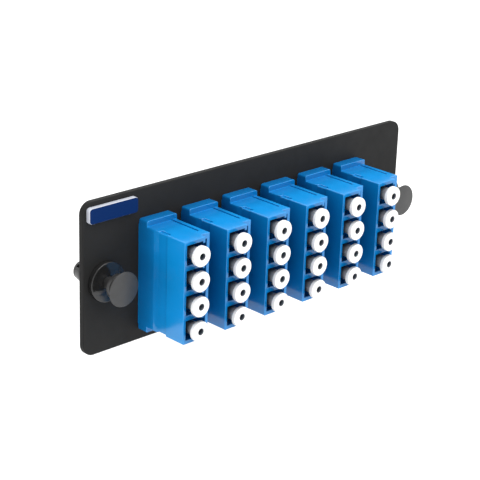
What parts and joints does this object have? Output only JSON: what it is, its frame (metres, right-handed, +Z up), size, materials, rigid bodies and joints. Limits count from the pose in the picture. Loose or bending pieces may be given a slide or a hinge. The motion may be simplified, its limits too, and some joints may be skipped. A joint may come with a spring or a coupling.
{
  "type": "fibre adapter panel",
  "caption": "Flat black plate with push-pull fasteners and a row of blue fibre adapters, each with stacked square ports closed by white dust caps.",
  "frame": {"origin": "centre of the plate's rear face, midway along its length and its height", "axes": "+X along the plate to the right as seen from the front, +Y out of the rear face, +Z up; the front ports face -Y"},
  "size_m": [0.1092, 0.0345, 0.0382],
  "materials": {
    "panel_coat": "matte black powder coat",
    "label_plastic": "white plastic plate with a dark blue face",
    "fastener_nylon": "satin black nylon",
    "adapter_plastic": "glossy mid-blue moulded plastic",
    "clip_steel": "bright spring steel strip",
    "sleeve_ceramic": "polished white ceramic",
    "cap_plastic": "white moulded plastic"
  },
  "bodies": {
    "panel_assembly": {"panel": "panel_coat", "label_plate": "label_plastic", "grommet_left": "fastener_nylon", "grommet_right": "fastener_nylon", "adapter_1_front_shell": "adapter_plastic", "adapter_1_rear_shell": "adapter_plastic", "adapter_1_clip": "clip_steel", "adapter_1_sleeves": "sleeve_ceramic", "adapter_1_rear_caps": "cap_plastic", "adapter_2_front_shell": "adapter_plastic", "adapter_2_rear_shell": "adapter_plastic", "adapter_2_clip": "clip_steel", "adapter_2_sleeves": "sleeve_ceramic", "adapter_2_rear_caps": "cap_plastic", "adapter_3_front_shell": "adapter_plastic", "adapter_3_rear_shell": "adapter_plastic", "adapter_3_clip": "clip_steel", "adapter_3_sleeves": "sleeve_ceramic", "adapter_3_rear_caps": "cap_plastic", "adapter_4_front_shell": "adapter_plastic", "adapter_4_rear_shell": "adapter_plastic", "adapter_4_clip": "clip_steel", "adapter_4_sleeves": "sleeve_ceramic", "adapter_4_rear_caps": "cap_plastic", "adapter_5_front_shell": "adapter_plastic", "adapter_5_rear_shell": "adapter_plastic", "adapter_5_clip": "clip_steel", "adapter_5_sleeves": "sleeve_ceramic", "adapter_5_rear_caps": "cap_plastic", "adapter_6_front_shell": "adapter_plastic", "adapter_6_rear_shell": "adapter_plastic", "adapter_6_clip": "clip_steel", "adapter_6_sleeves": "sleeve_ceramic", "adapter_6_rear_caps": "cap_plastic"},
    "plunger_left_body": {"plunger_left": "fastener_nylon"},
    "plunger_right_body": {"plunger_right": "fastener_nylon"},
    "cap_1_1_body": {"dust_cap_1_1": "cap_plastic"},
    "cap_1_2_body": {"dust_cap_1_2": "cap_plastic"},
    "cap_1_3_body": {"dust_cap_1_3": "cap_plastic"},
    "cap_1_4_body": {"dust_cap_1_4": "cap_plastic"},
    "cap_2_1_body": {"dust_cap_2_1": "cap_plastic"},
    "cap_2_2_body": {"dust_cap_2_2": "cap_plastic"},
    "cap_2_3_body": {"dust_cap_2_3": "cap_plastic"},
    "cap_2_4_body": {"dust_cap_2_4": "cap_plastic"},
    "cap_3_1_body": {"dust_cap_3_1": "cap_plastic"},
    "cap_3_2_body": {"dust_cap_3_2": "cap_plastic"},
    "cap_3_3_body": {"dust_cap_3_3": "cap_plastic"},
    "cap_3_4_body": {"dust_cap_3_4": "cap_plastic"},
    "cap_4_1_body": {"dust_cap_4_1": "cap_plastic"},
    "cap_4_2_body": {"dust_cap_4_2": "cap_plastic"},
    "cap_4_3_body": {"dust_cap_4_3": "cap_plastic"},
    "cap_4_4_body": {"dust_cap_4_4": "cap_plastic"},
    "cap_5_1_body": {"dust_cap_5_1": "cap_plastic"},
    "cap_5_2_body": {"dust_cap_5_2": "cap_plastic"},
    "cap_5_3_body": {"dust_cap_5_3": "cap_plastic"},
    "cap_5_4_body": {"dust_cap_5_4": "cap_plastic"},
    "cap_6_1_body": {"dust_cap_6_1": "cap_plastic"},
    "cap_6_2_body": {"dust_cap_6_2": "cap_plastic"},
    "cap_6_3_body": {"dust_cap_6_3": "cap_plastic"},
    "cap_6_4_body": {"dust_cap_6_4": "cap_plastic"}
  },
  "joints": [
    {"name": "plunger_left_push", "type": "slide", "parent": "panel_assembly", "child": "plunger_left_body", "axis": [0, 1, 0], "range_m": [0, 0.0025]},
    {"name": "plunger_right_push", "type": "slide", "parent": "panel_assembly", "child": "plunger_right_body", "axis": [0, 1, 0], "range_m": [0, 0.0025]},
    {"name": "cap_1_1_pull", "type": "slide", "parent": "panel_assembly", "child": "cap_1_1_body", "axis": [0, -1, 0], "range_m": [0, 0.016]},
    {"name": "cap_1_2_pull", "type": "slide", "parent": "panel_assembly", "child": "cap_1_2_body", "axis": [0, -1, 0], "range_m": [0, 0.016]},
    {"name": "cap_1_3_pull", "type": "slide", "parent": "panel_assembly", "child": "cap_1_3_body", "axis": [0, -1, 0], "range_m": [0, 0.016]},
    {"name": "cap_1_4_pull", "type": "slide", "parent": "panel_assembly", "child": "cap_1_4_body", "axis": [0, -1, 0], "range_m": [0, 0.016]},
    {"name": "cap_2_1_pull", "type": "slide", "parent": "panel_assembly", "child": "cap_2_1_body", "axis": [0, -1, 0], "range_m": [0, 0.016]},
    {"name": "cap_2_2_pull", "type": "slide", "parent": "panel_assembly", "child": "cap_2_2_body", "axis": [0, -1, 0], "range_m": [0, 0.016]},
    {"name": "cap_2_3_pull", "type": "slide", "parent": "panel_assembly", "child": "cap_2_3_body", "axis": [0, -1, 0], "range_m": [0, 0.016]},
    {"name": "cap_2_4_pull", "type": "slide", "parent": "panel_assembly", "child": "cap_2_4_body", "axis": [0, -1, 0], "range_m": [0, 0.016]},
    {"name": "cap_3_1_pull", "type": "slide", "parent": "panel_assembly", "child": "cap_3_1_body", "axis": [0, -1, 0], "range_m": [0, 0.016]},
    {"name": "cap_3_2_pull", "type": "slide", "parent": "panel_assembly", "child": "cap_3_2_body", "axis": [0, -1, 0], "range_m": [0, 0.016]},
    {"name": "cap_3_3_pull", "type": "slide", "parent": "panel_assembly", "child": "cap_3_3_body", "axis": [0, -1, 0], "range_m": [0, 0.016]},
    {"name": "cap_3_4_pull", "type": "slide", "parent": "panel_assembly", "child": "cap_3_4_body", "axis": [0, -1, 0], "range_m": [0, 0.016]},
    {"name": "cap_4_1_pull", "type": "slide", "parent": "panel_assembly", "child": "cap_4_1_body", "axis": [0, -1, 0], "range_m": [0, 0.016]},
    {"name": "cap_4_2_pull", "type": "slide", "parent": "panel_assembly", "child": "cap_4_2_body", "axis": [0, -1, 0], "range_m": [0, 0.016]},
    {"name": "cap_4_3_pull", "type": "slide", "parent": "panel_assembly", "child": "cap_4_3_body", "axis": [0, -1, 0], "range_m": [0, 0.016]},
    {"name": "cap_4_4_pull", "type": "slide", "parent": "panel_assembly", "child": "cap_4_4_body", "axis": [0, -1, 0], "range_m": [0, 0.016]},
    {"name": "cap_5_1_pull", "type": "slide", "parent": "panel_assembly", "child": "cap_5_1_body", "axis": [0, -1, 0], "range_m": [0, 0.016]},
    {"name": "cap_5_2_pull", "type": "slide", "parent": "panel_assembly", "child": "cap_5_2_body", "axis": [0, -1, 0], "range_m": [0, 0.016]},
    {"name": "cap_5_3_pull", "type": "slide", "parent": "panel_assembly", "child": "cap_5_3_body", "axis": [0, -1, 0], "range_m": [0, 0.016]},
    {"name": "cap_5_4_pull", "type": "slide", "parent": "panel_assembly", "child": "cap_5_4_body", "axis": [0, -1, 0], "range_m": [0, 0.016]},
    {"name": "cap_6_1_pull", "type": "slide", "parent": "panel_assembly", "child": "cap_6_1_body", "axis": [0, -1, 0], "range_m": [0, 0.016]},
    {"name": "cap_6_2_pull", "type": "slide", "parent": "panel_assembly", "child": "cap_6_2_body", "axis": [0, -1, 0], "range_m": [0, 0.016]},
    {"name": "cap_6_3_pull", "type": "slide", "parent": "panel_assembly", "child": "cap_6_3_body", "axis": [0, -1, 0], "range_m": [0, 0.016]},
    {"name": "cap_6_4_pull", "type": "slide", "parent": "panel_assembly", "child": "cap_6_4_body", "axis": [0, -1, 0], "range_m": [0, 0.016]}
  ]
}
